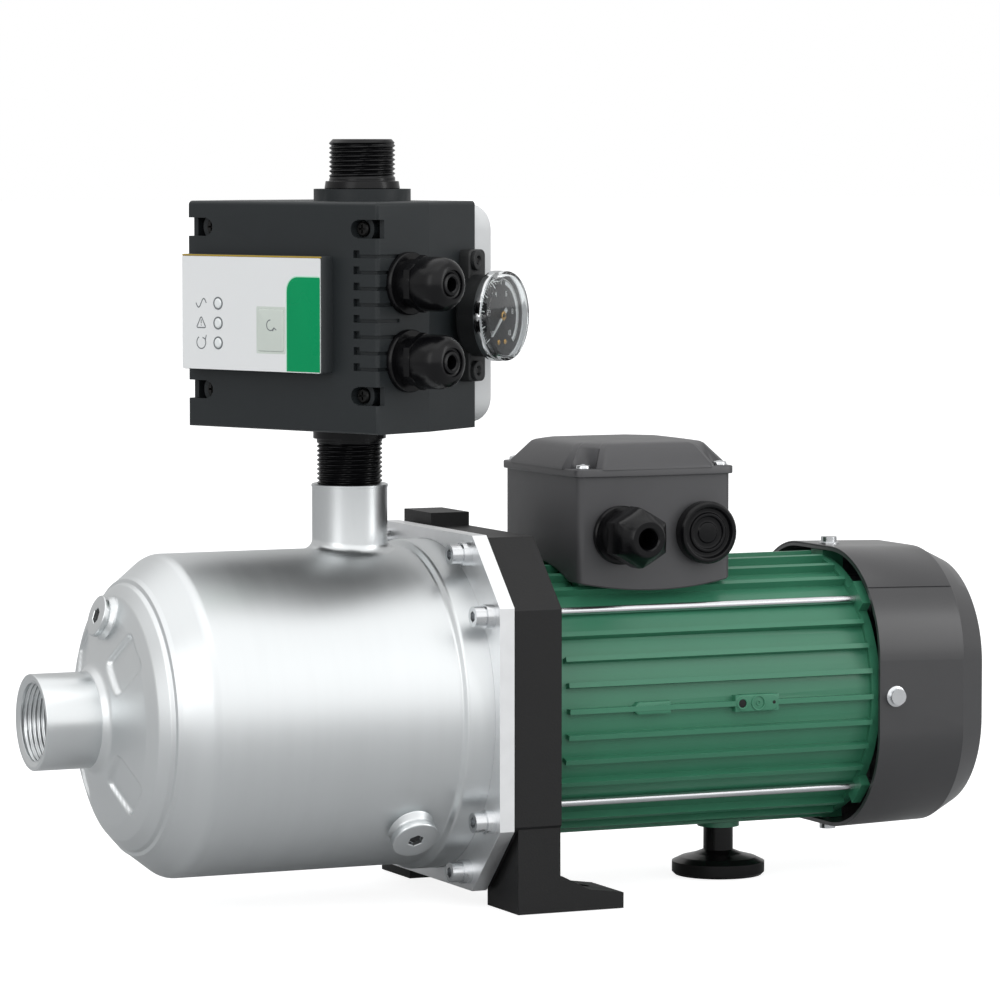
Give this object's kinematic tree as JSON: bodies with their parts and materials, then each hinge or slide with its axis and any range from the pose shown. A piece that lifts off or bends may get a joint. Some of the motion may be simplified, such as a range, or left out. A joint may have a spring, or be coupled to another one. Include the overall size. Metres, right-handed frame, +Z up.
{
  "type": "booster pump set",
  "caption": "Multistage water pump in a steel casing with a ribbed fan-cooled motor behind it, a terminal box on top, and a pressure control unit with a gauge on the outlet.",
  "frame": {"origin": "on the floor, midway between the two bolt holes in the bracket's feet", "axes": "+X along the shaft from the suction end to the fan, +Y away from the side with the cable glands, +Z up"},
  "size_m": [0.5003, 0.1927, 0.3849],
  "materials": {
    "stainless_sheet": "satin",
    "stainless_socket": "turned",
    "zinc_screws": "plated",
    "flange_steel": "zinc plated",
    "black_cast_iron": "painted black",
    "cast_motor_green": "painted green",
    "shield_aluminium": "cast",
    "laminations": "laminated",
    "copper_windings": "enamelled copper",
    "bearing_steel": "ground",
    "shaft_steel": "ground",
    "seal_rubber": "matt",
    "seal_ceramic": "lapped ceramic",
    "stage_plastic": "moulded",
    "plug_steel": "turned",
    "black_plastic": "fine grain",
    "black_gloss_plastic": "smooth",
    "grey_plastic": "fine grain",
    "panel_plastic": "smooth",
    "button_plastic": "smooth",
    "light_plastic": "clear",
    "clear_plastic": "clear",
    "pointer_metal": "white",
    "board_laminate": "solder mask",
    "spring_steel": "drawn",
    "capacitor_case": "smooth"
  },
  "bodies": {
    "pump_set": {"pump_casing": "stainless_sheet", "suction_socket": "stainless_socket", "discharge_socket": "stainless_socket", "filler_plug": "plug_steel", "drain_plug": "plug_steel", "clamp_flange": "flange_steel", "flange_screws": "zinc_screws", "casing_seal_ring": "seal_rubber", "seal_plate": "stainless_sheet", "seal_seat": "seal_ceramic", "stage_chamber_1": "stage_plastic", "stage_chamber_2": "stage_plastic", "stage_chamber_3": "stage_plastic", "suction_guide": "stage_plastic", "bracket": "black_cast_iron", "stator_housing": "cast_motor_green", "stator_core": "laminations", "stator_windings": "copper_windings", "front_bearing_outer_ring": "bearing_steel", "rear_bearing_outer_ring": "bearing_steel", "rear_end_shield": "shield_aluminium", "tie_rods": "zinc_screws", "fan_cover": "black_plastic", "fan_cover_screws": "zinc_screws", "support_foot": "black_gloss_plastic", "terminal_box": "black_plastic", "terminal_lid": "black_plastic", "lid_screws": "zinc_screws", "terminal_block": "seal_ceramic", "capacitor": "capacitor_case", "motor_cable_gland": "black_gloss_plastic", "blanking_plug": "black_plastic", "flow_body": "black_plastic", "outlet_nipple": "black_plastic", "valve_spring": "spring_steel", "unit_housing": "black_plastic", "unit_rear_cover": "grey_plastic", "unit_screws": "zinc_screws", "front_panel": "panel_plastic", "led_lenses": "light_plastic", "circuit_board": "board_laminate", "unit_glands": "black_gloss_plastic", "gauge_case": "black_plastic", "gauge_lens": "clear_plastic"},
    "rotor": {"shaft": "shaft_steel", "impeller_1": "stage_plastic", "impeller_2": "stage_plastic", "impeller_3": "stage_plastic", "impeller_nut": "zinc_screws", "seal_head": "spring_steel", "rotor_core": "laminations", "front_bearing_inner_ring": "bearing_steel", "rear_bearing_inner_ring": "bearing_steel", "fan": "black_plastic"},
    "front_ball_set": {"front_bearing_balls": "bearing_steel"},
    "rear_ball_set": {"rear_bearing_balls": "bearing_steel"},
    "pointer": {"gauge_pointer": "pointer_metal"},
    "button": {"reset_button": "button_plastic"},
    "valve": {"flow_valve": "stage_plastic"}
  },
  "joints": [
    {"name": "rotor_spin", "type": "hinge", "parent": "pump_set", "child": "rotor", "pos_m": [0, 0, 0.098], "axis": [1, 0, 0], "continuous": true},
    {"name": "front_balls_roll", "type": "hinge", "parent": "pump_set", "child": "front_ball_set", "pos_m": [0, 0, 0.098], "axis": [1, 0, 0], "continuous": true},
    {"name": "rear_balls_roll", "type": "hinge", "parent": "pump_set", "child": "rear_ball_set", "pos_m": [0, 0, 0.098], "axis": [1, 0, 0], "continuous": true},
    {"name": "pointer_swing", "type": "hinge", "parent": "pump_set", "child": "pointer", "pos_m": [-0.03883, -0.0548, 0.2969], "axis": [-0.6101, 0.7923, 0], "range_deg": [0, 270], "stiffness_Nm_per_rad": 0.0005},
    {"name": "button_press", "type": "slide", "parent": "pump_set", "child": "button", "axis": [0.9092, 0.4163, 0], "range_m": [0, 0.0007], "stiffness_N_per_m": 800},
    {"name": "valve_lift", "type": "slide", "parent": "pump_set", "child": "valve", "axis": [0, 0, 1], "range_m": [0, 0.008], "stiffness_N_per_m": 60, "springref_m": -0.002, "deforming": ["valve_spring"]}
  ],
  "couplings": [
    {"joint": "front_balls_roll", "follows": "rotor_spin", "ratio": 0.3836},
    {"joint": "rear_balls_roll", "follows": "rotor_spin", "ratio": 0.384}
  ]
}
